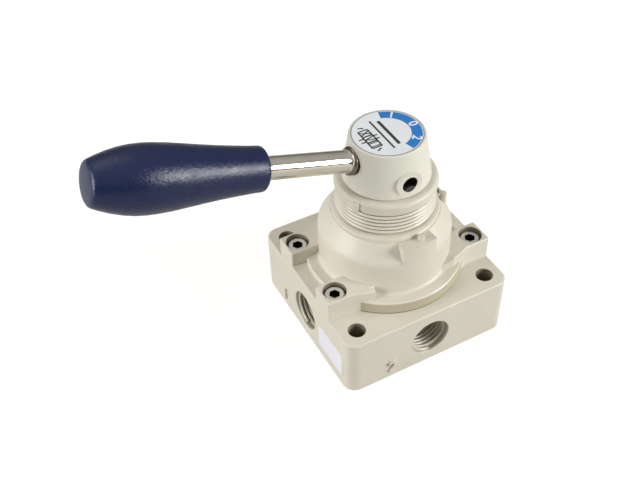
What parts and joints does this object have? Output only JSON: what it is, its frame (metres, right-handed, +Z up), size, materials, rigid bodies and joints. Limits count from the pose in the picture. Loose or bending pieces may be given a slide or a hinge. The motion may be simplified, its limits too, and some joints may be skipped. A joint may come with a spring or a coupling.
{
  "type": "hand lever air valve",
  "caption": "Square die-cast rotary air valve with side ports, a panel-mounting neck and a tilted hand lever that clicks between positions.",
  "frame": {"origin": "centre of the base face, on the spindle axis", "axes": "+Z up along the spindle; -X towards the lever in its middle position; +Y towards the rear side of the body"},
  "size_m": [0.1186, 0.06, 0.0977],
  "materials": {
    "cast_body": "satin paint over die casting",
    "black_steel": "black oxide",
    "seal_rubber": "matt",
    "plain_steel": "turned",
    "bush_brass": "turned",
    "disc_plastic": "lapped",
    "spring_steel": "drawn wire",
    "bright_steel": "polished",
    "dial_foil": "satin printed foil",
    "rod_chrome": "polished",
    "grip_plastic": "satin moulding",
    "label_paper": "matt"
  },
  "bodies": {
    "housing": {"valve_body": "cast_body", "cover": "cast_body", "cover_screws": "black_steel", "cover_seal": "seal_rubber", "neck_bush": "bush_brass", "thrust_washer": "bush_brass", "stop_pin": "plain_steel", "side_label": "label_paper"},
    "lever": {"spindle": "plain_steel", "spindle_seal": "seal_rubber", "valve_disc": "disc_plastic", "drive_pins": "plain_steel", "disc_spring": "spring_steel", "lever_hub": "cast_body", "hub_set_screw": "black_steel", "dial_plate": "dial_foil", "lever_rod": "rod_chrome", "lever_washer": "rod_chrome", "grip": "grip_plastic", "detent_spring_rear": "spring_steel", "detent_spring_front": "spring_steel"},
    "ball_rear": {"detent_ball_rear": "bright_steel"},
    "ball_front": {"detent_ball_front": "bright_steel"}
  },
  "joints": [
    {"name": "lever_turn", "type": "hinge", "parent": "housing", "child": "lever", "pos_m": [0, 0, 0.05], "axis": [0, 0, 1], "range_deg": [-45, 45]},
    {"name": "ball_rear_lift", "type": "slide", "parent": "lever", "child": "ball_rear", "axis": [0, 0, 1], "range_m": [0, 0.0005], "stiffness_N_per_m": 300, "springref_m": 0.0015, "deforming": ["detent_spring_rear"]},
    {"name": "ball_front_lift", "type": "slide", "parent": "lever", "child": "ball_front", "axis": [0, 0, 1], "range_m": [0, 0.0005], "stiffness_N_per_m": 300, "springref_m": 0.0015, "deforming": ["detent_spring_front"]}
  ],
  "couplings": [
    {"joint": "ball_front_lift", "follows": "ball_rear_lift", "ratio": 1}
  ]
}
